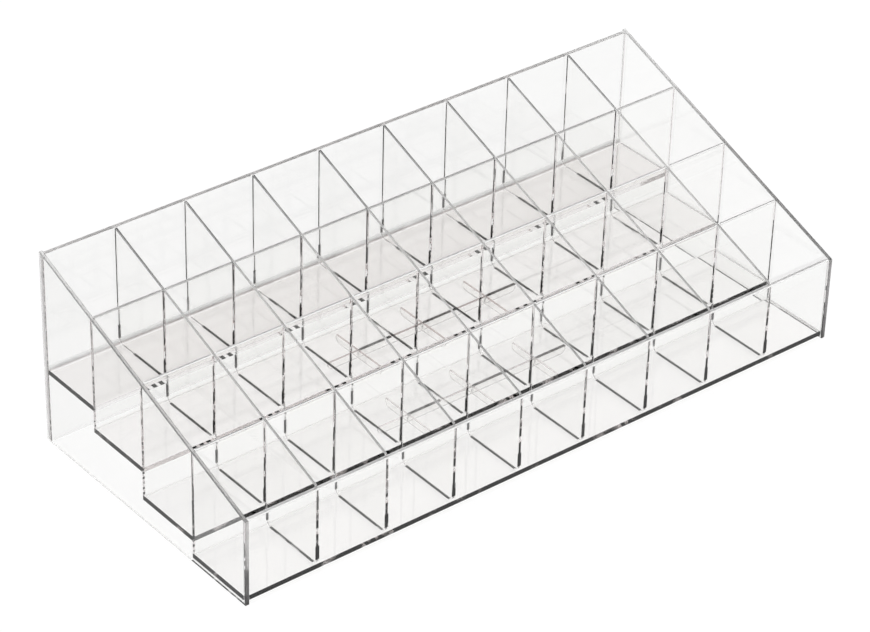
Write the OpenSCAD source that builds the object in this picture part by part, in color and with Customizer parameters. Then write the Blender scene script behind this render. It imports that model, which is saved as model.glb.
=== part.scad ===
// Clear acrylic lipstick organizer. A stepped tray of bonded sheets, split into compartments by a
// lattice of row walls and dividers that are half-lapped into each other. Every top edge follows one
// plane that falls from the back to the front, and the end and back panels reach down to the table.
// Millimetres. +X is to the right, +Y to the back, +Z up, and the origin is on the table under the
// middle of the tray.

/* [Tray] */
// Overall width, over both end panels
tray_w = 215; // [150:1:300]
// Overall depth, from the front face to the back face
tray_d = 95.5; // [80:0.5:140]
// Height of the end panels at the front face
front_h = 28; // [22:0.5:40]
// Height of the end panels at the back face
back_h = 63.5; // [56:0.5:80]

/* [Grid] */
// Compartments from left to right
columns = 9; // [5:1:11]
// Underside of the front floor above the table
floor_lift = 0.8; // [0.5:0.1:3]
// Rise from each floor to the floor behind it, from front to back
floor_rise = [5.7, 9.4, 7.2]; // [4:0.1:10]

/* [Sheets] */
// Thickness of the end panels
end_t = 1.2; // [1:0.1:3]
// Thickness of the front and back panels
panel_t = 1.5; // [1:0.1:3]
// Thickness of the floors
floor_t = 1.5; // [1:0.1:3]
// Thickness of the row walls
wall_t = 1; // [0.8:0.1:2]
// Thickness of the dividers
divider_t = 0.8; // [0.6:0.1:2]

/* [Joints] */
// Film of cement at each bonded edge
bond_gap = 0.05; // [0.02:0.01:0.15]
// Play on each side of a sheet in its half-lap slot
slot_play = 0.05; // [0.02:0.01:0.2]
// Rounding of the dividers' lower corners, which clears the bead of cement along the floors
heel_r = 1.5; // [0.5:0.1:3]

/* [Stiffeners] */
// Rows in the middle of the tray with stiffeners under their floor
stiff_rows = 2; // [1:1:3]
// Compartments in the middle of such a row that have them
stiff_columns = 3; // [1:2:5]
// Height of a stiffener strip
strip_h = 2.4; // [2:0.1:5]
// Thickness of a stiffener strip
strip_t = 0.6; // [0.5:0.1:2]
// Rounding of the lower corners of a stiffener strip
strip_r = 1.6; // [0.5:0.1:1.9]
// Distance from a cross strip's ends to the walls of its row
strip_inset = 1; // [0.5:0.1:4]

/* [Hidden] */
$fn = 48;
clear_acrylic = [0.88, 0.92, 0.94, 0.45];
edge_acrylic = [0.74, 0.80, 0.84, 0.60];

rows = len(floor_rise) + 1;
inner_w = tray_w - 2 * end_t;
inner_d = tray_d - 2 * panel_t;
cell_w = (inner_w - (columns - 1) * divider_t) / columns;
cell_d = (inner_d - (rows - 1) * wall_t) / rows;
sheet_w = inner_w - 2 * bond_gap;
first_stiff = floor((columns - stiff_columns) / 2) + 1;
last_stiff = first_stiff + stiff_columns - 1;
first_row = floor((rows - stiff_rows) / 2) + 1;
last_row = first_row + stiff_rows - 1;

// Name of the cross strip under one compartment
function cross_name(r, c) = str("cross_strip_", r, "_", c);

// Height of the falling top plane at depth y
function rim_z(y) = front_h + (back_h - front_h) * (y + tray_d / 2) / tray_d;

// Left face of compartment c, and the left face of the divider on its right
function cell_x(c) = -inner_w / 2 + (c - 1) * (cell_w + divider_t);
function divider_x(c) = cell_x(c) + cell_w;

// Front face of row r, and the front face of the wall behind it
function row_y(r) = -inner_d / 2 + (r - 1) * (cell_d + wall_t);
function wall_y(r) = row_y(r) + cell_d;

// Underside and top of the floor of row r
function floor_z(r) = r > 1 ? floor_z(r - 1) + floor_rise[r - 2] : floor_lift;
function floor_top(r) = floor_z(r) + floor_t;

// Top of the wall behind row r, and the height where the dividers and that wall overlap by half each
function wall_top(r) = rim_z(wall_y(r));
function lap_z(r) = (floor_top(r + 1) + wall_top(r)) / 2;

// Front, back and lower edge of a divider's leg in row r
function leg_front(r) = row_y(r) + (r == 1 ? bond_gap : slot_play);
function leg_back(r) = wall_y(r) - (r == rows ? bond_gap : slot_play);
function leg_z(r) = floor_top(r) + bond_gap;

// Lower outline of a divider in row r, from the slot in front of the leg to the slot behind it
function leg_outline(r) = concat(
    r == 1 ? [] : [[leg_front(r), lap_z(r - 1) + slot_play]],
    [[leg_front(r), leg_z(r)], [leg_back(r), leg_z(r)]],
    r == rows ? [] : [[leg_back(r), lap_z(r) + slot_play]]
);

// Sheet that stands across the tray: its outline is drawn in X and Z, and y is its front face
module cross_sheet(y, t) {
    translate([0, y + t, 0])
        rotate([90, 0, 0])
            linear_extrude(height = t)
                children();
}

// Sheet that stands front to back: its outline is drawn in Y and Z, and x is its left face
module side_sheet(x, t) {
    translate([x, 0, 0])
        rotate([90, 0, 90])
            linear_extrude(height = t)
                children();
}

// What is cut away to round a lower corner: side is 1 if the sheet lies on the corner's right
module corner_cut(r, side) {
    scale([side, 1])
        difference() {
            translate([-r, -r])
                square(2 * r);
            translate([r, r])
                circle(r);
            translate([r, -r])
                square([r, 3 * r]);
            translate([-r, r])
                square([3 * r, r]);
        }
}

// End panel: the whole side of the tray, down to the table
module end_panel(x) {
    color(clear_acrylic)
        side_sheet(x, end_t)
            polygon([
                [-tray_d / 2, 0],
                [tray_d / 2, 0],
                [tray_d / 2, back_h],
                [-tray_d / 2, front_h]
            ]);
}

// Front or back panel between the end panels, square-cut where its front face meets the rim
module cross_panel(y) {
    color(clear_acrylic)
        cross_sheet(y, panel_t)
            translate([-sheet_w / 2, 0])
                square([sheet_w, rim_z(y)]);
}

// Floor of row r. It runs on under the wall behind it, and butts against the wall in front
module floor_sheet(r) {
    front = row_y(r) + bond_gap;
    back = r == rows ? wall_y(r) - bond_gap : wall_y(r) + wall_t;
    color(clear_acrylic)
        translate([-sheet_w / 2, front, floor_z(r)])
            cube([sheet_w, back - front, floor_t]);
}

// Wall behind row r. It stands on that row's floor and is slotted from the top for the dividers
module row_wall(r) {
    foot = floor_top(r) + bond_gap;
    slot_w = divider_t + 2 * slot_play;
    color(edge_acrylic)
        cross_sheet(wall_y(r), wall_t)
            difference() {
                translate([-sheet_w / 2, foot])
                    square([sheet_w, wall_top(r) - foot]);
                for (c = [1 : columns - 1])
                    translate([divider_x(c) - slot_play, lap_z(r)])
                        square([slot_w, wall_top(r)]);
            }
}

// Divider on the right of column c: one sheet with a leg on every floor, slotted from below for the
// row walls, with its top edge along the rim
module divider(c) {
    front = leg_front(1);
    back = leg_back(rows);
    color(edge_acrylic)
        side_sheet(divider_x(c), divider_t)
            difference() {
                polygon(concat(
                    [for (r = [1 : rows]) each leg_outline(r)],
                    [[back, rim_z(back)], [front, rim_z(front)]]
                ));
                for (r = [1 : rows]) {
                    translate([leg_front(r), leg_z(r)])
                        corner_cut(heel_r, 1);
                    translate([leg_back(r), leg_z(r)])
                        corner_cut(heel_r, -1);
                }
            }
}

// Outline of a stiffener strip from start to end, with its upper edge at top
module strip_outline(start, end, top) {
    difference() {
        translate([start, top - strip_h])
            square([end - start, strip_h]);
        translate([start, top - strip_h])
            corner_cut(strip_r, 1);
        translate([end, top - strip_h])
            corner_cut(strip_r, -1);
    }
}

// Strip along the middle of row r, under its floor, notched from below for the cross strips
module stiffener_rail(r) {
    top = floor_z(r) - bond_gap;
    notch_w = strip_t + 2 * slot_play;
    color(edge_acrylic)
        cross_sheet(row_y(r) + (cell_d - strip_t) / 2, strip_t)
            difference() {
                strip_outline(cell_x(first_stiff), divider_x(last_stiff), top);
                for (c = [first_stiff : last_stiff])
                    translate([cell_x(c) + (cell_w - notch_w) / 2, top - 1.5 * strip_h])
                        square([notch_w, strip_h]);
            }
}

// Strip from front to back under one compartment, notched from above for the rail
module cross_strip(r, c) {
    top = floor_z(r) - bond_gap;
    notch_w = strip_t + 2 * slot_play;
    color(edge_acrylic)
        side_sheet(cell_x(c) + (cell_w - strip_t) / 2, strip_t)
            difference() {
                strip_outline(row_y(r) + strip_inset, wall_y(r) - strip_inset, top);
                translate([row_y(r) + (cell_d - notch_w) / 2, top - strip_h / 2 - slot_play])
                    square([notch_w, strip_h]);
            }
}

end_panel(-tray_w / 2);  // left_end_panel
end_panel(tray_w / 2 - end_t);  // right_end_panel
cross_panel(-tray_d / 2);  // front_panel
cross_panel(tray_d / 2 - panel_t);  // back_panel
for (r = [1 : rows])
    floor_sheet(r);
for (r = [1 : rows - 1])
    row_wall(r);
for (c = [1 : columns - 1])
    divider(c);
for (r = [first_row : last_row])
    stiffener_rail(r);
for (r = [first_row : last_row])
    for (c = [first_stiff : last_stiff])
        cross_strip(r, c);
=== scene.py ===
import math

import bmesh
import bpy
from mathutils import Euler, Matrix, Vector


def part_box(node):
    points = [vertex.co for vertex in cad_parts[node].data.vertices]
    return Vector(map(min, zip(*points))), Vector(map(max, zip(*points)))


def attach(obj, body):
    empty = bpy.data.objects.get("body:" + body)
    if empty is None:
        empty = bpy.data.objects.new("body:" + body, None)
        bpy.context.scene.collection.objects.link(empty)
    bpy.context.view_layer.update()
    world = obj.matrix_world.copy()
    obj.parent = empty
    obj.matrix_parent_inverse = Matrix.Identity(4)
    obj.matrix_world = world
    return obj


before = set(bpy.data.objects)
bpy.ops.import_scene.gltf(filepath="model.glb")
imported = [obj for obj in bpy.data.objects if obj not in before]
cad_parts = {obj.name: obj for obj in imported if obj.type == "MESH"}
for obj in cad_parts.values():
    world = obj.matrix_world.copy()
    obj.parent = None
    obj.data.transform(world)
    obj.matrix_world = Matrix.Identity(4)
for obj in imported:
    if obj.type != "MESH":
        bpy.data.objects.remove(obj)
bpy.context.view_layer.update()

bl_info = {
    "name": "Clear Lipstick Organizer",
    "version": (1, 0, 0),
    "blender": (4, 5, 0),
    "location": "View3D > Sidebar > Organizer",
    "description": "Finishes the sheets of a clear acrylic lipstick organizer and sets it on a pale stage",
    "category": "Object",
}

MM = 0.001

# Joints of the CAD: the film of cement, the play in the half-laps and the rounding of the dividers' heels
BOND = 0.05 * MM
PLAY = 0.05 * MM
HEEL = 1.5 * MM

# Places in a sheet's list of materials, after its acrylic
# PAINTED_SHADE is the slot of the joints with painted shade, standing in for the dark lines that light
# running inside the sheets leaves at their joints
CLEAR, PAINTED_SHADE, RIM = 1, 2, 3

# Which way the two faces of each kind of sheet look
FACE_AXES = {"side": (1, 0, 0), "cross": (0, 1, 0), "floor": (0, 0, 1)}

# Sheets with an edge on the rim, and sheets on whose joints painted shade shows
RIMMED_SHEETS = ("left_end_panel", "right_end_panel", "front_panel", "back_panel", "row_wall_", "divider_")
PAINTED_SHADE_SHEETS = ("left_end_panel", "right_end_panel", "front_panel", "divider_", "stiffener_rail_")

# What the properties that hold a share, and those that hold a length, have in common
SHARE = {"min": 0.0, "max": 1.0, "subtype": "FACTOR"}
LENGTH = {"subtype": "DISTANCE", "unit": "LENGTH"}

# Corners this close together are one, and corners this close to the rim are on it
SAME_PLACE = 0.001 * MM
RIM_REACH = 0.02 * MM

# Edges between faces that turn less than this vanish in a sheet, or look smooth on a bead
FLAT_TURN = math.radians(1.0)
SMOOTH_TURN = math.radians(30.0)
ARRIS_STEPS = 4
FILLET_STEPS = 8

# Scale and detail of the noise that makes each unevenness
WAVES = 45.0, 1.0
SMEARS = 70.0, 4.0
SAW_GRAIN = 250.0, 1.0
CLOUDS = 30.0, 3.0
# Patches in the painted shade of the dark joints
JOINT_SHADE_PATCHES = 130.0, 3.0
# Patches in the painted shade of the back bead
BEAD_SHADE_PATCHES = 120.0, 4.0

# Least share of the edge haze that saw grain leaves, and how much the grain adds
SAW_LEAST, SAW_SWING = 0.9, 0.2
# Blue that a sheet's tone keeps, so that it is a trace warmer than grey
BLUE_SHARE = 0.995
# Share of the lamps' light that gets through a clear surface
LAMP_SHARE = 0.96
# Height over the table up to which the front and back panels' lower edges are polished, and none
POLISHED_FOOT = 0.4 * MM
NO_FOOT = -1.0

# Noise at which a dark joint keeps its full painted shade, and the most light that its palest spots let
# through
SHADE_PATCH_LEVEL = 0.56
PALEST_SPOT = 0.9
# Part of a floor's thickness in which the painted shade of its dark joints turns from its lower to its upper
# level
SHADE_TURN = 0.45, 0.9
# From the front face, the strips along which the front panel's left and right ends are bonded
LEFT_STRIP = 0.4 * MM, 1.0 * MM
RIGHT_STRIP = 0.8 * MM

# Gap between the tray and the stage's floor, so that their faces don't lie in one plane
FLOOR_GAP = 0.1 * MM
# How far to the back the room turns into the backdrop
BACKDROP_EDGE = -0.1, 0.2
SENSOR_WIDTH = 36.0
NEAREST_VIEW = 0.01
# A ray crosses many sheets, and runs a long way inside some of them
SHEET_BOUNCES = 256
PASSED_SURFACES = 64


def nodes_named(*starts):
    """The CAD nodes whose names start with one of these words, in order."""
    return [o for name, o in sorted(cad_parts.items()) if name.startswith(starts)]


def boxes(start):
    """The boxes of the CAD nodes whose names start with this word."""
    return [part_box(o.name) for o in nodes_named(start)]


class AcrylicProperties(bpy.types.PropertyGroup):
    """How the clear sheets look."""

    ior: bpy.props.FloatProperty(
        name="Index of Refraction",
        description="How strongly the acrylic bends light",
        default=1.49,
        min=1.0,
        max=2.0,
    )
    tint: bpy.props.FloatVectorProperty(
        name="Depth Tint",
        description="Colour that light takes on along a long way through a sheet",
        subtype="COLOR",
        size=3,
        default=(0.70, 0.59, 0.58),
        min=0.0,
        max=1.0,
    )
    end_tone: bpy.props.FloatProperty(
        name="End Panel Tone",
        description="Share of the light that an end panel lets through",
        default=0.95,
        **SHARE,
    )
    front_tone: bpy.props.FloatProperty(
        name="Front Panel Tone",
        description="Share of the light that the front panel lets through",
        default=0.97,
        **SHARE,
    )
    back_tone: bpy.props.FloatProperty(
        name="Back Panel Tone",
        description="Share of the light that the back panel lets through",
        default=0.93,
        **SHARE,
    )
    lattice_tone: bpy.props.FloatProperty(
        name="Lattice Tone",
        description="Share of the light that a row wall or a divider lets through",
        default=0.975,
        **SHARE,
    )
    floor_tone: bpy.props.FloatProperty(
        name="Floor Tone",
        description="Share of the light that the surface of a floor lets through",
        default=0.98,
        **SHARE,
    )
    rim_tone: bpy.props.FloatProperty(
        name="Rim Tone",
        description="Paleness of the frosted rims",
        default=0.9,
        **SHARE,
    )
    # Painted shade on the end panels' rims, the left one darker than the right
    end_rim_painted_shade: bpy.props.FloatVectorProperty(
        name="End Rim Tone",
        description="Share of the light that the rims of the left and the right end panel let through",
        size=2,
        default=(0.3, 0.5),
        min=0.0,
        max=1.0,
    )
    wall_frost: bpy.props.FloatProperty(
        name="Wall Frost",
        description="Share of the light that the rims of the front panel and the lower row walls scatter",
        default=0.75,
        **SHARE,
    )
    divider_frost: bpy.props.FloatProperty(
        name="Divider Frost",
        description="Share of the light that the rims of the dividers scatter",
        default=0.2,
        **SHARE,
    )
    last_frost: bpy.props.FloatProperty(
        name="Last Wall Frost",
        description="Share of the light that the rim of the last row wall scatters",
        default=0.12,
        **SHARE,
    )
    cloud: bpy.props.FloatProperty(
        name="Cloudiness",
        description="How much the tone of a sheet varies over its surface",
        default=0.02,
        **SHARE,
    )
    wall_depth: bpy.props.FloatProperty(
        name="Wall Density",
        description="How soon the depth tint shows in the walls, per metre",
        default=2.0,
        min=0.0,
    )
    floor_depth: bpy.props.FloatVectorProperty(
        name="Floor Density",
        description="How soon the depth tint shows in each floor, from the front, per metre",
        size=4,
        default=(50.0, 45.0, 75.0, 125.0),
        min=0.0,
    )
    strip_depth: bpy.props.FloatProperty(
        name="Strip Density",
        description="How soon the depth tint shows in the stiffeners, per metre",
        default=20.0,
        min=0.0,
    )
    arris: bpy.props.FloatProperty(
        name="Arris",
        description="Radius of the rounded edges along the rim",
        default=0.3 * MM,
        min=0.0,
        **LENGTH,
    )
    wave: bpy.props.FloatProperty(
        name="Sheet Wave",
        description="Height of the slow waves that cast sheet has",
        default=0.03 * MM,
        min=0.0,
        **LENGTH,
    )
    face_haze: bpy.props.FloatProperty(
        name="Face Haze",
        description="Roughness of the polished faces where they have been handled",
        default=0.03,
        **SHARE,
    )
    edge_haze: bpy.props.FloatProperty(
        name="Edge Haze",
        description="Roughness of the cut edges",
        default=0.8,
        **SHARE,
    )
    floor_haze: bpy.props.FloatProperty(
        name="Floor Haze",
        description="Roughness of the floors, which tubes have been set down on",
        default=0.03,
        **SHARE,
    )


class JointProperties(bpy.types.PropertyGroup):
    """The bonded joints between the sheets."""

    soak: bpy.props.FloatProperty(
        name="Soak",
        description="How far the cement melts into the sheets that it joins",
        default=0.02 * MM,
        min=0.001 * MM,
        **LENGTH,
    )
    bead: bpy.props.FloatProperty(
        name="Bead",
        description="Radius of the beads of cement along the dividers and the rails",
        default=0.26 * MM,
        min=0.05 * MM,
        **LENGTH,
    )
    back_bead: bpy.props.FloatProperty(
        name="Back Bead",
        description="Radius of the bead of cement between the last floor and the back panel",
        default=1.45 * MM,
        min=0.05 * MM,
        **LENGTH,
    )
    bead_haze: bpy.props.FloatProperty(
        name="Bead Haze",
        description="Roughness of the bead along the last floor",
        default=0.35,
        **SHARE,
    )
    bead_cloud: bpy.props.FloatProperty(
        name="Bead Cloudiness",
        description="Share of the light that the bead along the last floor scatters",
        default=0.35,
        **SHARE,
    )
    # Painted shade in the hollow of the bead along the last floor
    bead_shade: bpy.props.FloatProperty(
        name="Bead Shade",
        description="How much light the bead along the last floor holds back",
        default=1.0,
        **SHARE,
    )
    # Painted shade: the light that the dark joints let through
    shade: bpy.props.FloatProperty(
        name="Shade",
        description="Share of the light that gets through the dark joints",
        default=0.02,
        **SHARE,
    )
    # Painted shade in the upper part of the floors' dark joints, lighter than in their lower part
    upper_shade: bpy.props.FloatProperty(
        name="Upper Shade",
        description="Share of the light that gets through the upper part of the floors' dark joints",
        default=0.3,
        **SHARE,
    )
    # How far the painted shade of the dark joints breaks into dashes along them
    mottle: bpy.props.FloatProperty(
        name="Mottle",
        description="How unevenly the cement has set in the dark joints",
        default=5.0,
        min=0.0,
    )
    # Painted shade along the dividers' feet
    foot_share: bpy.props.FloatVectorProperty(
        name="Dark Feet",
        description="Share of the dividers' feet, from their front ends, that is dark in each row",
        size=4,
        default=(1.0, 1.0, 1.0, 0.7),
        min=0.0,
        max=1.0,
    )
    # Painted shade up the dividers' uprights
    dark_rise: bpy.props.FloatProperty(
        name="Dark Rise",
        description="Height over the heel to which the dividers' uprights are dark, except at the back",
        default=4.5 * MM,
        min=0.0,
        **LENGTH,
    )
    back_strip: bpy.props.FloatProperty(
        name="Back Strip",
        description="Width of the strip along which the back panel is bonded to the end panels",
        default=0.5 * MM,
        min=0.05 * MM,
        **LENGTH,
    )
    # Painted shade on the lower part of the front panel's left end
    end_share: bpy.props.FloatProperty(
        name="Dark Ends",
        description="Share of the front panel's left end, from the table up, that is dark",
        default=0.4,
        **SHARE,
    )


class StageProperties(bpy.types.PropertyGroup):
    """The floor, the light and the camera."""

    floor_size: bpy.props.FloatProperty(
        name="Floor Size",
        description="Length of the floor's sides",
        default=8.0,
        **LENGTH,
    )
    floor_color: bpy.props.FloatVectorProperty(
        name="Floor",
        description="Colour of the pale floor",
        subtype="COLOR",
        size=3,
        default=(0.9, 0.9, 0.9),
        min=0.0,
        max=1.0,
    )
    floor_white: bpy.props.FloatProperty(
        name="Floor White",
        description="How much of the floor's white doesn't depend on the light",
        default=0.9,
        **SHARE,
    )
    room: bpy.props.FloatProperty(
        name="Room",
        description="Brightness of the dim room round the set",
        default=0.25,
        min=0.0,
    )
    ceiling: bpy.props.FloatProperty(
        name="Ceiling",
        description="Brightness of the white ceiling over the set",
        default=1.0,
        min=0.0,
    )
    backdrop: bpy.props.FloatProperty(
        name="Backdrop",
        description="Brightness of the pale backdrop behind the set",
        default=1.0,
        min=0.0,
    )
    lamp_size: bpy.props.FloatProperty(
        name="Softbox Size",
        description="Length of the softbox's sides",
        default=1.2,
        **LENGTH,
    )
    lamp_height: bpy.props.FloatProperty(
        name="Softbox Height",
        description="Height of the softbox over the floor",
        default=1.1,
        **LENGTH,
    )
    lamp_power: bpy.props.FloatProperty(
        name="Softbox Power",
        description="Power of the softbox",
        default=11.0,
        min=0.0,
        unit="POWER",
    )
    camera_place: bpy.props.FloatVectorProperty(
        name="Camera",
        description="Where the camera stands",
        size=3,
        default=(-0.52276, -0.62409, 0.5637),
        subtype="TRANSLATION",
        unit="LENGTH",
    )
    camera_turn: bpy.props.FloatVectorProperty(
        name="Camera Turn",
        description="How the camera is turned",
        size=3,
        default=(math.radians(56.483), math.radians(-1.347), math.radians(-38.783)),
        subtype="EULER",
        unit="ROTATION",
    )
    lens: bpy.props.FloatProperty(
        name="Lens",
        description="Focal length on a sensor 36 mm wide",
        default=139.91,
        min=10.0,
        unit="CAMERA",
    )


def new_group(name, inputs, outputs):
    """A shader node group with its sockets, and its nodes and links to fill in."""
    group = bpy.data.node_groups.new(name, "ShaderNodeTree")
    for socket, kind, value in inputs:
        made = group.interface.new_socket(socket, in_out="INPUT", socket_type=kind)
        made.default_value = value
    for socket, kind in outputs:
        group.interface.new_socket(socket, in_out="OUTPUT", socket_type=kind)
    return group, group.nodes.new("NodeGroupInput"), group.nodes.new("NodeGroupOutput")


def math_node(tree, operation, first, second):
    """A Math node whose inputs are sockets or plain numbers. Returns its output."""
    node = tree.nodes.new("ShaderNodeMath")
    node.operation = operation
    for socket, value in zip(node.inputs, (first, second)):
        if isinstance(value, (int, float)):
            socket.default_value = value
        else:
            tree.links.new(value, socket)
    return node.outputs["Value"]


def noise_node(tree, vector, unevenness):
    """A Noise Texture over the object's own coordinates. Returns its value."""
    scale, detail = unevenness
    node = tree.nodes.new("ShaderNodeTexNoise")
    node.inputs["Scale"].default_value = scale
    node.inputs["Detail"].default_value = detail
    tree.links.new(vector, node.inputs["Vector"])
    return node.outputs["Fac"]


def grey(tree, tone):
    """A Combine Color node whose channels are all the same. Returns its colour."""
    color = tree.nodes.new("ShaderNodeCombineColor")
    for channel in color.inputs:
        tree.links.new(tone, channel)
    return color.outputs["Color"]


def cut_edge_group():
    """Mask that is 1 on a sheet's cut edges and 0 on its two faces."""
    name = "cut_edge"
    if name in bpy.data.node_groups:
        return bpy.data.node_groups[name]
    group, enter, leave = new_group(
        name,
        [("Face Axis", "NodeSocketVector", (0.0, 0.0, 1.0))],
        [("Edge", "NodeSocketFloat")],
    )
    place = group.nodes.new("ShaderNodeTexCoord")
    dot = group.nodes.new("ShaderNodeVectorMath")
    dot.operation = "DOT_PRODUCT"
    group.links.new(place.outputs["Normal"], dot.inputs[0])
    group.links.new(enter.outputs["Face Axis"], dot.inputs[1])
    along = math_node(group, "ABSOLUTE", dot.outputs["Value"], 0.0)
    edge = math_node(group, "SUBTRACT", 1.0, along)
    group.links.new(edge, leave.inputs["Edge"])
    return group


def polish_group():
    """Slow waves of the sheet and the haze of handling, as a height and a roughness."""
    name = "sheet_polish"
    if name in bpy.data.node_groups:
        return bpy.data.node_groups[name]
    group, enter, leave = new_group(
        name,
        [
            ("Wave", "NodeSocketFloat", 0.0),
            ("Face Haze", "NodeSocketFloat", 0.0),
            ("Edge Haze", "NodeSocketFloat", 0.0),
            ("Edge", "NodeSocketFloat", 0.0),
            ("Polished Foot", "NodeSocketFloat", 0.0),
        ],
        [("Height", "NodeSocketFloat"), ("Roughness", "NodeSocketFloat")],
    )
    place = group.nodes.new("ShaderNodeTexCoord").outputs["Object"]
    waves = noise_node(group, place, WAVES)
    group.links.new(math_node(group, "MULTIPLY", waves, enter.outputs["Wave"]), leave.inputs["Height"])
    smears = noise_node(group, place, SMEARS)
    handled = math_node(group, "MULTIPLY", smears, enter.outputs["Face Haze"])
    saw = noise_node(group, place, SAW_GRAIN)
    grain = math_node(group, "ADD", math_node(group, "MULTIPLY", saw, SAW_SWING), SAW_LEAST)
    sawn = math_node(group, "MULTIPLY", grain, enter.outputs["Edge Haze"])
    mix = group.nodes.new("ShaderNodeMix")
    split = group.nodes.new("ShaderNodeSeparateXYZ")
    group.links.new(place, split.inputs["Vector"])
    above_table = math_node(group, "GREATER_THAN", split.outputs["Z"], enter.outputs["Polished Foot"])
    rough_edge = math_node(group, "MULTIPLY", enter.outputs["Edge"], above_table)
    group.links.new(rough_edge, mix.inputs["Factor"])
    group.links.new(handled, mix.inputs["A"])
    group.links.new(sawn, mix.inputs["B"])
    group.links.new(mix.outputs["Result"], leave.inputs["Roughness"])
    return group


def tone_group():
    """The tone of a sheet, a little cloudy over its surface."""
    name = "sheet_tone"
    if name in bpy.data.node_groups:
        return bpy.data.node_groups[name]
    group, enter, leave = new_group(
        name,
        [("Tone", "NodeSocketFloat", 1.0), ("Cloudiness", "NodeSocketFloat", 0.0)],
        [("Color", "NodeSocketColor")],
    )
    place = group.nodes.new("ShaderNodeTexCoord").outputs["Object"]
    clouds = noise_node(group, place, CLOUDS)
    drift = math_node(group, "SUBTRACT", clouds, 0.5)
    swing = math_node(group, "MULTIPLY", drift, enter.outputs["Cloudiness"])
    tone = math_node(group, "SUBTRACT", enter.outputs["Tone"], swing)
    color = group.nodes.new("ShaderNodeCombineColor")
    for channel in ("Red", "Green"):
        group.links.new(tone, color.inputs[channel])
    group.links.new(math_node(group, "MULTIPLY", tone, BLUE_SHARE), color.inputs["Blue"])
    group.links.new(color.outputs["Color"], leave.inputs["Color"])
    return group


def place_group(tree, group, values):
    """One group node in a material, with its own values."""
    node = tree.nodes.new("ShaderNodeGroup")
    node.node_tree = group
    for socket, value in values.items():
        node.inputs[socket].default_value = value
    return node


def let_lamps_through(tree, clear, out):
    """Lamps reach the floor through the clear sheets."""
    pass_lamps = tree.nodes.new("ShaderNodeBsdfTransparent")
    pass_lamps.inputs["Color"].default_value = (LAMP_SHARE, LAMP_SHARE, LAMP_SHARE, 1.0)
    rays = tree.nodes.new("ShaderNodeLightPath")
    shader = tree.nodes.new("ShaderNodeMixShader")
    tree.links.new(rays.outputs["Is Shadow Ray"], shader.inputs["Fac"])
    tree.links.new(clear.outputs["BSDF"], shader.inputs[1])
    tree.links.new(pass_lamps.outputs["BSDF"], shader.inputs[2])
    tree.links.new(shader.outputs["Shader"], out.inputs["Surface"])


def acrylic(kind, tone, depth):
    """Clear acrylic for one kind of sheet, with the tone and the depth tint of its stock."""
    name = "clear_%s_%g_%g" % (kind, tone, depth)
    if name in bpy.data.materials:
        return bpy.data.materials[name]
    look = bpy.context.scene.organizer_acrylic
    material = bpy.data.materials.new(name)
    material.use_nodes = True
    tree = material.node_tree
    tree.nodes.clear()
    out = tree.nodes.new("ShaderNodeOutputMaterial")

    clear = tree.nodes.new("ShaderNodeBsdfPrincipled")
    clear.inputs["Transmission Weight"].default_value = 1.0
    clear.inputs["IOR"].default_value = look.ior

    shade = place_group(tree, tone_group(), {"Tone": tone, "Cloudiness": look.cloud})
    tree.links.new(shade.outputs["Color"], clear.inputs["Base Color"])
    edge = place_group(tree, cut_edge_group(), {"Face Axis": FACE_AXES[kind]})
    polish = place_group(
        tree,
        polish_group(),
        {
            "Wave": look.wave,
            "Face Haze": look.floor_haze if kind == "floor" else look.face_haze,
            "Edge Haze": look.edge_haze,
            "Polished Foot": POLISHED_FOOT if kind == "cross" else NO_FOOT,
        },
    )
    tree.links.new(edge.outputs["Edge"], polish.inputs["Edge"])
    tree.links.new(polish.outputs["Roughness"], clear.inputs["Roughness"])
    bump = tree.nodes.new("ShaderNodeBump")
    bump.inputs["Distance"].default_value = 1.0
    tree.links.new(polish.outputs["Height"], bump.inputs["Height"])
    tree.links.new(bump.outputs["Normal"], clear.inputs["Normal"])

    let_lamps_through(tree, clear, out)
    if depth > 0:
        inside = tree.nodes.new("ShaderNodeVolumeAbsorption")
        inside.inputs["Color"].default_value = (*look.tint, 1.0)
        inside.inputs["Density"].default_value = depth
        tree.links.new(inside.outputs["Volume"], out.inputs["Volume"])
    return material


def sawn_rim(scatter, paleness):
    """The sawn rim of a sheet, frosted so that it scatters this share of the light."""
    name = "sawn_rim_%g_%g" % (scatter, paleness)
    if name in bpy.data.materials:
        return bpy.data.materials[name]
    look = bpy.context.scene.organizer_acrylic
    material = bpy.data.materials.new(name)
    material.use_nodes = True
    tree = material.node_tree
    frost = tree.nodes["Principled BSDF"]
    frost.inputs["Transmission Weight"].default_value = 1.0 - scatter
    frost.inputs["IOR"].default_value = look.ior
    # On the end panels this tone is painted shade
    tone = place_group(tree, tone_group(), {"Tone": paleness, "Cloudiness": look.cloud})
    tree.links.new(tone.outputs["Color"], frost.inputs["Base Color"])
    haze = {"Edge Haze": look.edge_haze, "Edge": 1.0, "Polished Foot": NO_FOOT}
    polish = place_group(tree, polish_group(), haze)
    tree.links.new(polish.outputs["Roughness"], frost.inputs["Roughness"])
    let_lamps_through(tree, frost, tree.nodes["Material Output"])
    return material


def pale_rim(frost):
    """A frosted rim in the paleness that the tray's rims share."""
    return sawn_rim(frost, bpy.context.scene.organizer_acrylic.rim_tone)


def rim_height(y):
    """Height of the falling rim at a depth, from the tops of the front panel and an end panel."""
    low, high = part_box("left_end_panel")
    front_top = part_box("front_panel")[1][2]
    slope = (high[2] - front_top) / (high[1] - low[1])
    return front_top + slope * (y - low[1])


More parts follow.
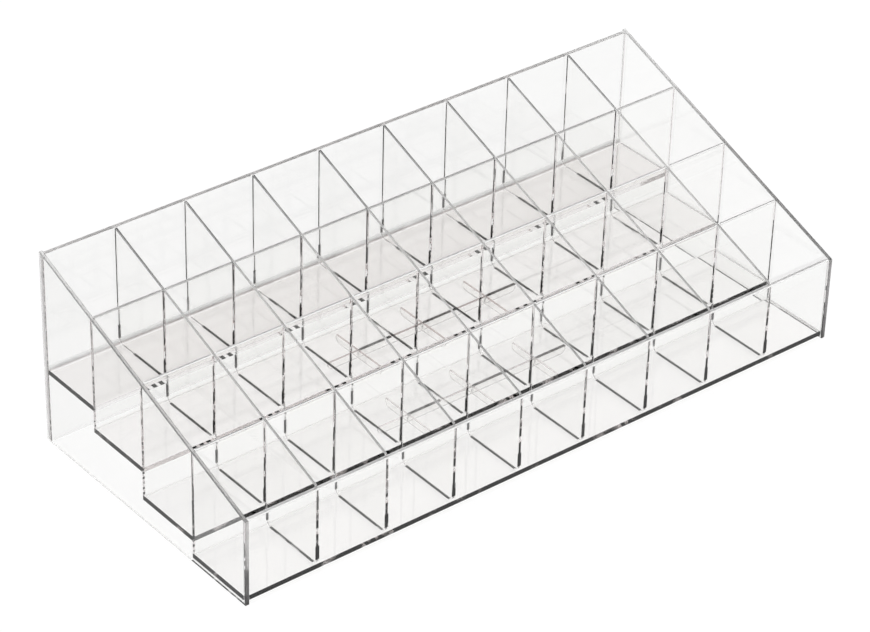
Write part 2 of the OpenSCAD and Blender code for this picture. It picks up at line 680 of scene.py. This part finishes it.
def painted_shade_joint_of(sheet):
    """How the joint in the painted-shade slot looks on this sheet: painted shade, or clear where none shows.
    """
    if sheet.name.startswith("floor_"):
        low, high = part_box(sheet.name)
        return bonded(PAINTED_SHADE, low[2], high[2])
    return bonded(PAINTED_SHADE if sheet.name.startswith(PAINTED_SHADE_SHEETS) else CLEAR)


def free_corners(sheet):
    """A sheet's corners on the rim, where no other sheet is bonded to it."""
    if not sheet.name.startswith(RIMMED_SHEETS):
        return []
    top = max(v.co.z for v in sheet.data.vertices)
    free = []
    for vertex in sheet.data.vertices:
        place = sheet.matrix_world @ vertex.co
        if place.z > min(rim_height(place.y), top) - RIM_REACH:
            free.append(vertex.index)
    return free


def join_corners(sheet):
    """Joins corners of a sheet that lie on top of each other."""
    weld = sheet.modifiers.new("join corners", "WELD")
    weld.merge_threshold = SAME_PLACE


def finish_sheets(sheets, kind, tone, depth, rim=None):
    """Rounds the rims of CAD sheets, and gives them their acrylic and the finish of their rims."""
    if not sheets:
        raise RuntimeError("the frame has no sheets of the kind " + kind)
    look = bpy.context.scene.organizer_acrylic
    for sheet in sheets:
        mesh = sheet.data
        if "custom_normal" in mesh.attributes:
            mesh.attributes.remove(mesh.attributes["custom_normal"])
        mesh.polygons.foreach_set("use_smooth", [False] * len(mesh.polygons))
        corners = free_corners(sheet)
        free = sheet.vertex_groups.new(name="free edges")
        free.add(corners, 1.0, "REPLACE")
        on_rim = set(corners)
        for face in mesh.polygons:
            face.material_index = RIM if on_rim.issuperset(face.vertices) else 0
        join_corners(sheet)
        flat = sheet.modifiers.new("whole faces", "DECIMATE")
        flat.decimate_type = "DISSOLVE"
        flat.angle_limit = FLAT_TURN
        bevel = sheet.modifiers.new("polished arris", "BEVEL")
        bevel.width = look.arris
        bevel.segments = ARRIS_STEPS
        bevel.limit_method = "VGROUP"
        bevel.vertex_group = free.name
        bevel.material = RIM
        sheet_acrylic = acrylic(kind, tone, depth)
        mesh.materials.clear()
        for surface in (sheet_acrylic, bonded(CLEAR), painted_shade_joint_of(sheet), rim or sheet_acrylic):
            mesh.materials.append(surface)


class ORGANIZER_OT_end_panels(bpy.types.Operator):
    """Finish the two end panels"""

    bl_idname = "organizer.end_panels"
    bl_label = "End Panels"

    def execute(self, context):
        look = context.scene.organizer_acrylic
        for sheet, paleness in zip(nodes_named("left_end_panel", "right_end_panel"), look.end_rim_painted_shade):
            # The end panels' rims are darkened by painted shade
            finish_sheets([sheet], "side", look.end_tone, look.wall_depth, sawn_rim(0.0, paleness))
        return {"FINISHED"}


class ORGANIZER_OT_cross_panels(bpy.types.Operator):
    """Finish the front and back panels"""

    bl_idname = "organizer.cross_panels"
    bl_label = "Front and Back Panels"

    def execute(self, context):
        look = context.scene.organizer_acrylic
        rim = pale_rim(look.wall_frost)
        finish_sheets(nodes_named("front_panel"), "cross", look.front_tone, look.wall_depth, rim)
        finish_sheets(nodes_named("back_panel"), "cross", look.back_tone, look.wall_depth)
        return {"FINISHED"}


class ORGANIZER_OT_floors(bpy.types.Operator):
    """Finish the stepped floors"""

    bl_idname = "organizer.floors"
    bl_label = "Floors"

    def execute(self, context):
        look = context.scene.organizer_acrylic
        for sheet, depth in zip(nodes_named("floor_"), look.floor_depth):
            finish_sheets([sheet], "floor", look.floor_tone, depth)
        return {"FINISHED"}


class ORGANIZER_OT_lattice(bpy.types.Operator):
    """Finish the half-lapped row walls and dividers"""

    bl_idname = "organizer.lattice"
    bl_label = "Row Walls and Dividers"

    def execute(self, context):
        look = context.scene.organizer_acrylic
        walls = nodes_named("row_wall_")
        for sheets, kind, frost in (
            (walls[:-1], "cross", look.wall_frost),
            (walls[-1:], "cross", look.last_frost),
            (nodes_named("divider_"), "side", look.divider_frost),
        ):
            finish_sheets(sheets, kind, look.lattice_tone, look.wall_depth, pale_rim(frost))
        return {"FINISHED"}


class ORGANIZER_OT_stiffeners(bpy.types.Operator):
    """Finish the stiffener strips under the middle floors"""

    bl_idname = "organizer.stiffeners"
    bl_label = "Stiffeners"

    def execute(self, context):
        look = context.scene.organizer_acrylic
        finish_sheets(nodes_named("stiffener_rail_"), "cross", look.lattice_tone, look.strip_depth)
        finish_sheets(nodes_named("cross_strip_"), "side", look.lattice_tone, look.strip_depth)
        return {"FINISHED"}


def rows():
    """For each row: the top of its floor, and the faces of the sheets in front of it and behind it."""
    sheets = [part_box("front_panel")] + boxes("row_wall_") + [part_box("back_panel")]
    for floor, before, after in zip(boxes("floor_"), sheets, sheets[1:]):
        yield floor[1][2], before[1][1], after[0][1]


def rail_halves(rail, gap):
    """Start, middle and end of a rail in each of its compartments, and the box of the cross strip there."""
    low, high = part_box(rail.name)
    start = low[0]
    for strip_low, strip_high in boxes("cross_strip_" + row_of(rail)):
        middle = (strip_low[0] + strip_high[0]) / 2
        end = 2 * middle - start
        yield start, middle, min(end, high[0]), strip_low, strip_high
        start = end + gap


def row_of(rail):
    """The number of the row under which a rail runs."""
    return rail.name.split("_")[-1]


def floor_over(rail):
    """Underside of the floor over a rail."""
    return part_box("floor_" + row_of(rail))[0][2]


def end_bonds(joints):
    """Sheets across the tray against the end panels, and the edges on the table."""
    left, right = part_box("left_end_panel"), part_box("right_end_panel")
    floors = boxes("floor_")
    for low, high in floors:
        # The floors' left ends get painted shade
        yield (left[1][0], low[1], low[2]), (low[0], high[1], high[2]), 0, PAINTED_SHADE
    for low, high in boxes("row_wall_"):
        yield (left[1][0], low[1], low[2]), (low[0], high[1], high[2]), 0, CLEAR
        yield (high[0], low[1], low[2]), (right[0][0], high[1], high[2]), 0, CLEAR
    low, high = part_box("back_panel")
    inner = low[1] + joints.back_strip
    yield (left[1][0], low[1], low[2]), (low[0], inner, high[2]), 0, CLEAR
    yield (high[0], low[1], low[2]), (right[0][0], inner, high[2]), 0, CLEAR
    low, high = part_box("front_panel")
    dark_top = low[2] + joints.end_share * (high[2] - low[2])
    outer, inner = (low[1] + width for width in LEFT_STRIP)
    # The lower part of the front panel's left end gets painted shade
    yield (left[1][0], outer, low[2]), (low[0], inner, dark_top), 0, PAINTED_SHADE
    yield (left[1][0], outer, dark_top + 2 * joints.soak), (low[0], inner, high[2]), 0, CLEAR
    yield (high[0], low[1], low[2]), (right[0][0], low[1] + RIGHT_STRIP, high[2]), 0, CLEAR
    yield (low[0], low[1], low[2] - BOND), (high[0], high[1], low[2]), 2, CLEAR
    # The end panels' edges on the table get painted shade, the shadow where they stand on it
    for (low, high), end in ((left, floors[0][1][1]), (right, right[1][1])):
        yield (low[0], low[1], low[2] - BOND), (high[0], end, low[2]), 2, PAINTED_SHADE


def floor_bonds():
    """Floors against the sheets before and behind them, and row walls on the floors."""
    floors, walls = boxes("floor_"), boxes("row_wall_")
    lower = floors[: len(floors) // 2]
    for (low, high), sheet in zip(floors, [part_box("front_panel")] + walls):
        # The fronts of the lower floors get painted shade
        kind = PAINTED_SHADE if (low, high) in lower else CLEAR
        yield (low[0], sheet[1][1], low[2]), (high[0], low[1], high[2]), 1, kind
    low, high = floors[-1]
    yield (low[0], high[1], low[2]), (high[0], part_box("back_panel")[0][1], high[2]), 1, CLEAR
    for (low, high), floor in zip(walls, floors):
        yield (low[0], low[1], floor[1][2]), (high[0], high[1], low[2]), 2, CLEAR


def divider_bonds(joints, low, high):
    """One divider against the front and back panels, in its laps with the row walls, and on the floors."""
    front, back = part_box("front_panel"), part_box("back_panel")
    floors, walls = boxes("floor_"), boxes("row_wall_")
    uprights = [
        (front[1][1], low[1], floors[0][1][2], front[1][2]),
        (high[1], back[0][1], floors[-1][1][2], high[2]),
    ]
    for wall, floor, behind in zip(walls, floors, floors[1:]):
        lap = (behind[1][2] + wall[1][2]) / 2
        uprights.append((wall[0][1] - PLAY, wall[0][1], floor[1][2], lap + PLAY))
        uprights.append((wall[1][1], wall[1][1] + PLAY, behind[1][2], lap + PLAY))
        for side in (low[0] - PLAY, high[0]):
            yield (side, wall[0][1], lap), (side + PLAY, wall[1][1], wall[1][2]), 0, CLEAR
        yield (low[0], wall[0][1], lap), (high[0], wall[1][1], lap + PLAY), 2, CLEAR
    for start, end, foot, top in uprights:
        # Painted shade up the lower part of each upright, and up the whole height of those at the back
        heel = foot + BOND + HEEL
        turn = top if end == back[0][1] else heel + joints.dark_rise
        yield (low[0], start, heel), (high[0], end, turn), 1, PAINTED_SHADE
        if turn < top:
            yield (low[0], start, turn + 2 * joints.soak), (high[0], end, top), 1, CLEAR
    for (foot, before, after), share in zip(rows(), joints.foot_share):
        # Painted shade along the front share of the dividers' feet in each row
        start, end = before + HEEL, after - HEEL
        turn = start + share * (end - start)
        yield (low[0], start, foot), (high[0], turn, foot + BOND), 2, PAINTED_SHADE
        if share < 1:
            yield (low[0], turn + 2 * joints.soak, foot), (high[0], end, foot + BOND), 2, CLEAR


def stiffener_bonds(joints):
    """Rails and cross strips under the floors."""
    for rail in nodes_named("stiffener_rail_"):
        low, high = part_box(rail.name)
        under = floor_over(rail)
        for start, middle, end, strip_low, strip_high in rail_halves(rail, 2 * joints.soak):
            yield (start, low[1], high[2]), (middle - joints.soak, high[1], under), 2, CLEAR
            # The rails' right halves get painted shade, their left halves stay clear
            yield (middle + joints.soak, low[1], high[2]), (end, high[1], under), 2, PAINTED_SHADE
            for front, back in ((strip_low[1], low[1] - PLAY), (high[1] + PLAY, strip_high[1])):
                yield (strip_low[0], front, high[2]), (strip_high[0], back, under), 2, CLEAR


def bonds():
    """The narrow gaps between bonded sheets: low corner, high corner, axis across it and kind of joint."""
    joints = bpy.context.scene.organizer_joints
    yield from end_bonds(joints)
    yield from floor_bonds()
    for low, high in boxes("divider_"):
        yield from divider_bonds(joints, low, high)
    yield from stiffener_bonds(joints)


def add_gap(shape, low, high, axis, kind, soak):
    """The space of one joint, a hair into both sheets along its axis and a hair past their edges."""
    low, high = list(low), list(high)
    for i in range(3):
        grow = soak if i == axis else soak / 2
        low[i] -= grow
        high[i] += grow
    spots = [(x, y, z) for x in (low[0], high[0]) for y in (low[1], high[1]) for z in (low[2], high[2])]
    verts = [shape.verts.new(spot) for spot in spots]
    for corners in ((0, 1, 3, 2), (4, 6, 7, 5), (0, 4, 5, 1), (2, 3, 7, 6), (0, 2, 6, 4), (1, 5, 7, 3)):
        shape.faces.new([verts[i] for i in corners]).material_index = kind


def joint_gaps(axis, soak):
    """The space of all joints across one axis, as a hidden shape."""
    shape = bmesh.new()
    for low, high, across, kind in bonds():
        if across == axis:
            add_gap(shape, low, high, axis, kind, soak)
    bmesh.ops.recalc_face_normals(shape, faces=shape.faces)
    name = "joint_gaps_" + "xyz"[axis]
    mesh = bpy.data.meshes.new(name)
    shape.to_mesh(mesh)
    shape.free()
    for kind in (CLEAR, CLEAR, PAINTED_SHADE):
        mesh.materials.append(bonded(kind))
    gaps = bpy.data.objects.new(name, mesh)
    bpy.context.scene.collection.objects.link(gaps)
    gaps.hide_render = True
    gaps.hide_viewport = True
    return gaps


def painted_joint_shade_group():
    """Painted shade of a dark joint, as the light it passes: little in its lower part, more above, and
    unevenly along it.
    """
    name = "joint_shade"
    if name in bpy.data.node_groups:
        return bpy.data.node_groups[name]
    group, enter, leave = new_group(
        name,
        [
            ("Low", "NodeSocketFloat", 0.0),
            ("High", "NodeSocketFloat", 1.0),
            ("Shade", "NodeSocketFloat", 0.0),
            ("Upper Shade", "NodeSocketFloat", 0.0),
            ("Mottle", "NodeSocketFloat", 0.0),
        ],
        [("Color", "NodeSocketColor")],
    )
    place = group.nodes.new("ShaderNodeTexCoord").outputs["Object"]
    split = group.nodes.new("ShaderNodeSeparateXYZ")
    group.links.new(place, split.inputs["Vector"])
    rise = group.nodes.new("ShaderNodeMapRange")
    rise.interpolation_type = "SMOOTHSTEP"
    group.links.new(split.outputs["Z"], rise.inputs["Value"])
    group.links.new(enter.outputs["Low"], rise.inputs["From Min"])
    group.links.new(enter.outputs["High"], rise.inputs["From Max"])
    group.links.new(enter.outputs["Shade"], rise.inputs["To Min"])
    group.links.new(enter.outputs["Upper Shade"], rise.inputs["To Max"])
    # Patches along the joint where the painted shade lets more light through
    shade_patches = math_node(group, "SUBTRACT", noise_node(group, place, JOINT_SHADE_PATCHES), SHADE_PATCH_LEVEL)
    swing = math_node(group, "MULTIPLY", shade_patches, enter.outputs["Mottle"])
    even = math_node(group, "ADD", rise.outputs["Result"], swing)
    tone = math_node(group, "MINIMUM", math_node(group, "MAXIMUM", even, 0.0), PALEST_SPOT)
    group.links.new(grey(group, tone), leave.inputs["Color"])
    return group


def bonded(kind, low=None, high=None):
    """The inside of a joint, where light goes straight on. A dark one holds most of it back as painted
    shade, and less of it in the upper part of a floor that reaches from low to high."""
    graded = low is not None
    name = "clear_joint" if kind == CLEAR else "dark_joint"
    if graded:
        name += "_%g" % (low / MM)
    if name in bpy.data.materials:
        return bpy.data.materials[name]
    joints = bpy.context.scene.organizer_joints
    material = bpy.data.materials.new(name)
    material.use_nodes = True
    tree = material.node_tree
    clear = tree.nodes["Principled BSDF"]
    clear.inputs["Base Color"].default_value = (1.0, 1.0, 1.0, 1.0)
    clear.inputs["Transmission Weight"].default_value = 1.0
    clear.inputs["Roughness"].default_value = 0.0
    clear.inputs["IOR"].default_value = 1.0
    # A dark joint is painted shade, darkest low down and broken into dashes
    if kind == PAINTED_SHADE:
        turn = [low + share * (high - low) for share in SHADE_TURN] if graded else [0.0, 1.0]
        values = {
            "Low": turn[0],
            "High": turn[1],
            "Shade": joints.shade,
            "Upper Shade": joints.upper_shade if graded else joints.shade,
            "Mottle": joints.mottle,
        }
        shade = place_group(tree, painted_joint_shade_group(), values)
        tree.links.new(shade.outputs["Color"], clear.inputs["Base Color"])
    let_lamps_through(tree, clear, tree.nodes["Material Output"])
    return material


def fillet(radius, soak):
    """Outline of a hollow fillet in a corner at the origin. Its two sides on the sheets come first."""
    outline = [(-soak, radius), (-soak, -soak), (radius, -soak)]
    for step in range(FILLET_STEPS + 1):
        angle = step / FILLET_STEPS * math.pi / 2
        outline.append((radius * (1 - math.sin(angle)), radius * (1 - math.cos(angle))))
    return outline


def add_bead(shape, outline, rings):
    """A bead of cement with this outline from ring to ring. A ring gives a place and two axes."""
    made = []
    for place, across, up in rings:
        spots = [[p + a * x + b * y for p, a, b in zip(place, across, up)] for x, y in outline]
        made.append([shape.verts.new(spot) for spot in spots])
    for ring, after in zip(made, made[1:]):
        for i in range(len(outline)):
            j = (i + 1) % len(outline)
            face = shape.faces.new((ring[i], ring[j], after[j], after[i]))
            face.material_index = 1 if i < 2 else 0
    for ring in (made[0], made[-1]):
        shape.faces.new(ring)


def fillet_painted_shade_group():
    """Painted shade in a hollow fillet: darkest halfway round the hollow, palest where it runs out on the
    sheets, and uneven along it.
    """
    name = "fillet_tone"
    if name in bpy.data.node_groups:
        return bpy.data.node_groups[name]
    group, enter, leave = new_group(
        name,
        [("Shade", "NodeSocketFloat", 0.0)],
        [("Color", "NodeSocketColor")],
    )
    place = group.nodes.new("ShaderNodeTexCoord")
    split = group.nodes.new("ShaderNodeSeparateXYZ")
    group.links.new(place.outputs["Normal"], split.inputs["Vector"])
    level = math_node(group, "POWER", math_node(group, "ABSOLUTE", split.outputs["Z"], 0.0), 2.0)
    steep = math_node(group, "SUBTRACT", 1.0, level)
    # 1 halfway round the fillet, where the product of the two is at its most, a quarter
    hollow = math_node(group, "MULTIPLY", math_node(group, "MULTIPLY", level, steep), 4.0)
    shade_patches = noise_node(group, place.outputs["Object"], BEAD_SHADE_PATCHES)
    # Painted shade, deepest in the middle of the hollow
    dark = math_node(group, "MULTIPLY", math_node(group, "MULTIPLY", hollow, shade_patches), enter.outputs["Shade"])
    group.links.new(grey(group, math_node(group, "SUBTRACT", 1.0, dark)), leave.inputs["Color"])
    return group


def hazy_cement():
    """Cement that has set a little cloudy, with painted shade in its hollow."""
    name = "hazy_cement"
    if name in bpy.data.materials:
        return bpy.data.materials[name]
    joints = bpy.context.scene.organizer_joints
    material = bpy.data.materials.new(name)
    material.use_nodes = True
    tree = material.node_tree
    clear = tree.nodes["Principled BSDF"]
    clear.inputs["Transmission Weight"].default_value = 1.0 - joints.bead_cloud
    clear.inputs["Roughness"].default_value = joints.bead_haze
    clear.inputs["IOR"].default_value = bpy.context.scene.organizer_acrylic.ior
    tone = place_group(tree, fillet_painted_shade_group(), {"Shade": joints.bead_shade})
    tree.links.new(tone.outputs["Color"], clear.inputs["Base Color"])
    let_lamps_through(tree, clear, tree.nodes["Material Output"])
    return material


def clear_cement():
    """Cement that has set clear."""
    return acrylic("floor", 1.0, 0.0)


def add_cement(name, shape, surface, base):
    """Turns a cement shape into a piece that rides with the tray."""
    bmesh.ops.recalc_face_normals(shape, faces=shape.faces)
    mesh = bpy.data.meshes.new(name)
    shape.to_mesh(mesh)
    shape.free()
    mesh.polygons.foreach_set("use_smooth", [True] * len(mesh.polygons))
    mesh.set_sharp_from_angle(angle=SMOOTH_TURN)
    mesh.materials.append(surface)
    mesh.materials.append(bonded(base))
    piece = bpy.data.objects.new(name, mesh)
    bpy.context.scene.collection.objects.link(piece)
    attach(piece, "root")


def add_divider_shade_beads(joints):
    """Beads on both sides of the dividers, along their feet and up their ends, as one piece for each row.
    Their faces on the sheets are painted shade, a dark line in each corner.
    """
    outline = fillet(joints.bead, joints.soak)
    for number, (foot, before, after) in enumerate(rows(), start=1):
        shape = bmesh.new()
        start, end = before + HEEL, after - HEEL
        end = start + joints.foot_share[number - 1] * (end - start)
        heel = foot + BOND + HEEL
        heights = heel, heel + joints.dark_rise
        for low, high in boxes("divider_"):
            for side, face in ((-1, low[0]), (1, high[0])):
                rings = [((face, y, foot), (side, 0, 0), (0, 0, 1)) for y in (start, end)]
                add_bead(shape, outline, rings)
                for y, toward in ((before, 1), (after, -1)):
                    rings = [((face, y, z), (side, 0, 0), (0, toward, 0)) for z in heights]
                    add_bead(shape, outline, rings)
        # Clear cement over a base of painted shade
        add_cement("cement_beads_%d" % number, shape, clear_cement(), PAINTED_SHADE)


def add_rail_shade_beads(joints):
    """Beads on both sides of the rails, from each cross strip to the end of its compartment. Their faces on
    the sheets are painted shade.
    """
    outline = fillet(joints.bead, joints.soak)
    for rail in nodes_named("stiffener_rail_"):
        shape = bmesh.new()
        low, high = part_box(rail.name)
        under = floor_over(rail)
        for start, middle, end, strip_low, strip_high in rail_halves(rail, 0.0):
            for y, toward in ((low[1], -1), (high[1], 1)):
                places = [(x, y, under) for x in (strip_high[0] + joints.bead, end)]
                add_bead(shape, outline, [(place, (0, toward, 0), (0, 0, -1)) for place in places])
        add_cement("rail_beads_" + row_of(rail), shape, clear_cement(), PAINTED_SHADE)


def add_back_fillet(joints):
    """The thicker, hazy bead between the last floor and the back panel, with painted shade in its hollow."""
    low, high = boxes("floor_")[-1]
    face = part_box("back_panel")[0][1]
    shape = bmesh.new()
    rings = [((x, face, high[2]), (0, -1, 0), (0, 0, 1)) for x in (low[0], high[0])]
    add_bead(shape, fillet(joints.back_bead, joints.soak), rings)
    add_cement("cement_fillet_back", shape, hazy_cement(), CLEAR)


class ORGANIZER_OT_beads(bpy.types.Operator):
    """Run beads of cement along the dividers, the rails and the last floor, with painted shade at their
    bases and in the last one's hollow
    """

    bl_idname = "organizer.beads"
    bl_label = "Beads"

    def execute(self, context):
        joints = context.scene.organizer_joints
        add_divider_shade_beads(joints)
        add_rail_shade_beads(joints)
        add_back_fillet(joints)
        return {"FINISHED"}


class ORGANIZER_OT_joints(bpy.types.Operator):
    """Bond the sheets, so that light passes from one to the next"""

    bl_idname = "organizer.joints"
    bl_label = "Joints"

    def execute(self, context):
        soak = context.scene.organizer_joints.soak
        for axis in range(3):
            gaps = joint_gaps(axis, soak)
            for sheet in nodes_named(""):
                cut = sheet.modifiers.new("joints " + "xyz"[axis], "BOOLEAN")
                cut.operation = "DIFFERENCE"
                cut.solver = "EXACT"
                cut.object = gaps
        for sheet in nodes_named(""):
            join_corners(sheet)
        return {"FINISHED"}


def add_floor(stage):
    """A pale floor just under the tray, white to the eye and through the sheets, with its shadow."""
    half = stage.floor_size / 2
    mesh = bpy.data.meshes.new("floor")
    corners = [(x, y, -FLOOR_GAP) for x, y in ((-half, -half), (half, -half), (half, half), (-half, half))]
    mesh.from_pydata(corners, [], [(0, 1, 2, 3)])
    floor = bpy.data.objects.new("stage_floor", mesh)
    bpy.context.scene.collection.objects.link(floor)

    material = bpy.data.materials.new("pale_floor")
    material.use_nodes = True
    tree = material.node_tree
    tree.nodes.clear()
    out = tree.nodes.new("ShaderNodeOutputMaterial")
    lit = tree.nodes.new("ShaderNodeBsdfDiffuse")
    lit.inputs["Color"].default_value = (*stage.floor_color, 1.0)
    white = tree.nodes.new("ShaderNodeEmission")
    white.inputs["Strength"].default_value = 1.0
    share = math_node(tree, "MULTIPLY", seen_rays(tree), stage.floor_white)
    shader = tree.nodes.new("ShaderNodeMixShader")
    tree.links.new(share, shader.inputs["Fac"])
    tree.links.new(lit.outputs["BSDF"], shader.inputs[1])
    tree.links.new(white.outputs["Emission"], shader.inputs[2])
    tree.links.new(shader.outputs["Shader"], out.inputs["Surface"])
    mesh.materials.append(material)


def seen_rays(tree):
    """1 for rays from the camera, and for those that gloss or clear sheets send on."""
    rays = tree.nodes.new("ShaderNodeLightPath")
    seen = math_node(tree, "MAXIMUM", rays.outputs["Is Camera Ray"], rays.outputs["Is Glossy Ray"])
    return math_node(tree, "MAXIMUM", seen, rays.outputs["Is Transmission Ray"])


def add_world(stage):
    """White to the eye. Round the set it is a dim room with a white ceiling and a pale backdrop."""
    world = bpy.data.worlds.new("studio")
    bpy.context.scene.world = world
    world.use_nodes = True
    tree = world.node_tree
    tree.nodes.clear()
    out = tree.nodes.new("ShaderNodeOutputWorld")
    place = tree.nodes.new("ShaderNodeTexCoord")
    split = tree.nodes.new("ShaderNodeSeparateXYZ")
    tree.links.new(place.outputs["Generated"], split.inputs["Vector"])
    ramp = tree.nodes.new("ShaderNodeValToRGB")
    # From straight down at 0 to straight up at 1
    height = math_node(tree, "MULTIPLY_ADD", split.outputs["Z"], 0.5)
    height.node.inputs[2].default_value = 0.5
    tree.links.new(height, ramp.inputs["Fac"])
    levels = [(0.0, 1.0), (0.6, 1.0), (0.66, stage.room), (0.84, stage.room), (0.9, stage.ceiling)]
    stops = ramp.color_ramp.elements
    while len(stops) < len(levels):
        stops.new(1.0)
    for stop, (position, level) in zip(stops, levels):
        stop.position = position
        stop.color = (level, level, level, 1.0)
    behind = tree.nodes.new("ShaderNodeMapRange")
    behind.interpolation_type = "SMOOTHSTEP"
    for end, position in zip(("From Min", "From Max"), BACKDROP_EDGE):
        behind.inputs[end].default_value = position
    tree.links.new(split.outputs["Y"], behind.inputs["Value"])
    sweep = tree.nodes.new("ShaderNodeMix")
    sweep.data_type = "RGBA"
    sweep.inputs["B"].default_value = (stage.backdrop, stage.backdrop, stage.backdrop, 1.0)
    tree.links.new(behind.outputs["Result"], sweep.inputs["Factor"])
    tree.links.new(ramp.outputs["Color"], sweep.inputs["A"])
    room = tree.nodes.new("ShaderNodeBackground")
    tree.links.new(sweep.outputs["Result"], room.inputs["Color"])
    white = tree.nodes.new("ShaderNodeBackground")
    white.inputs["Color"].default_value = (1.0, 1.0, 1.0, 1.0)
    rays = tree.nodes.new("ShaderNodeLightPath")
    shader = tree.nodes.new("ShaderNodeMixShader")
    tree.links.new(rays.outputs["Is Camera Ray"], shader.inputs["Fac"])
    tree.links.new(room.outputs["Background"], shader.inputs[1])
    tree.links.new(white.outputs["Background"], shader.inputs[2])
    tree.links.new(shader.outputs["Shader"], out.inputs["Surface"])


def add_softbox(stage):
    """One large soft lamp over the tray."""
    lamp = bpy.data.lights.new("softbox", "AREA")
    lamp.shape = "SQUARE"
    lamp.size = stage.lamp_size
    lamp.energy = stage.lamp_power
    softbox = bpy.data.objects.new("softbox", lamp)
    softbox.location = (0.0, 0.0, stage.lamp_height)
    bpy.context.scene.collection.objects.link(softbox)


def add_camera(stage):
    """The camera at the photograph's viewing angle."""
    lens = bpy.data.cameras.new("camera")
    lens.lens = stage.lens
    lens.sensor_width = SENSOR_WIDTH
    lens.clip_start = NEAREST_VIEW
    camera = bpy.data.objects.new("camera", lens)
    camera.location = stage.camera_place
    camera.rotation_euler = Euler(stage.camera_turn)
    bpy.context.scene.collection.objects.link(camera)
    bpy.context.scene.camera = camera


class ORGANIZER_OT_stage(bpy.types.Operator):
    """Set up the floor, the light and the camera"""

    bl_idname = "organizer.stage"
    bl_label = "Stage"

    def execute(self, context):
        stage = context.scene.organizer_stage
        add_floor(stage)
        add_world(stage)
        add_softbox(stage)
        add_camera(stage)
        context.scene.view_settings.view_transform = "Standard"
        cycles = context.scene.cycles
        cycles.max_bounces = SHEET_BOUNCES
        cycles.transmission_bounces = SHEET_BOUNCES
        cycles.glossy_bounces = SHEET_BOUNCES
        cycles.transparent_max_bounces = PASSED_SURFACES
        return {"FINISHED"}


class ORGANIZER_PT_sidebar(bpy.types.Panel):
    """Lists what the organizer is made of"""

    bl_idname = "ORGANIZER_PT_sidebar"
    bl_label = "Lipstick Organizer"
    bl_space_type = "VIEW_3D"
    bl_region_type = "UI"
    bl_category = "Organizer"

    def draw(self, context):
        scene = context.scene
        for settings in (scene.organizer_acrylic, scene.organizer_joints, scene.organizer_stage):
            box = self.layout.box()
            for name in settings.bl_rna.properties.keys():
                if name not in ("rna_type", "name"):
                    box.prop(settings, name)
        for operator in OPERATORS:
            self.layout.operator(operator.bl_idname)


OPERATORS = (
    ORGANIZER_OT_end_panels,
    ORGANIZER_OT_cross_panels,
    ORGANIZER_OT_floors,
    ORGANIZER_OT_lattice,
    ORGANIZER_OT_stiffeners,
    ORGANIZER_OT_joints,
    ORGANIZER_OT_beads,
    ORGANIZER_OT_stage,
)
CLASSES = (AcrylicProperties, JointProperties, StageProperties, *OPERATORS, ORGANIZER_PT_sidebar)


def register():
    for cls in CLASSES:
        bpy.utils.register_class(cls)
    bpy.types.Scene.organizer_acrylic = bpy.props.PointerProperty(type=AcrylicProperties)
    bpy.types.Scene.organizer_joints = bpy.props.PointerProperty(type=JointProperties)
    bpy.types.Scene.organizer_stage = bpy.props.PointerProperty(type=StageProperties)


def unregister():
    del bpy.types.Scene.organizer_stage
    del bpy.types.Scene.organizer_joints
    del bpy.types.Scene.organizer_acrylic
    for cls in reversed(CLASSES):
        bpy.utils.unregister_class(cls)


def main():
    register()
    bpy.ops.organizer.end_panels()
    bpy.ops.organizer.cross_panels()
    bpy.ops.organizer.floors()
    bpy.ops.organizer.lattice()
    bpy.ops.organizer.stiffeners()
    bpy.ops.organizer.joints()
    bpy.ops.organizer.beads()
    bpy.ops.organizer.stage()


if __name__ == "__main__":
    main()
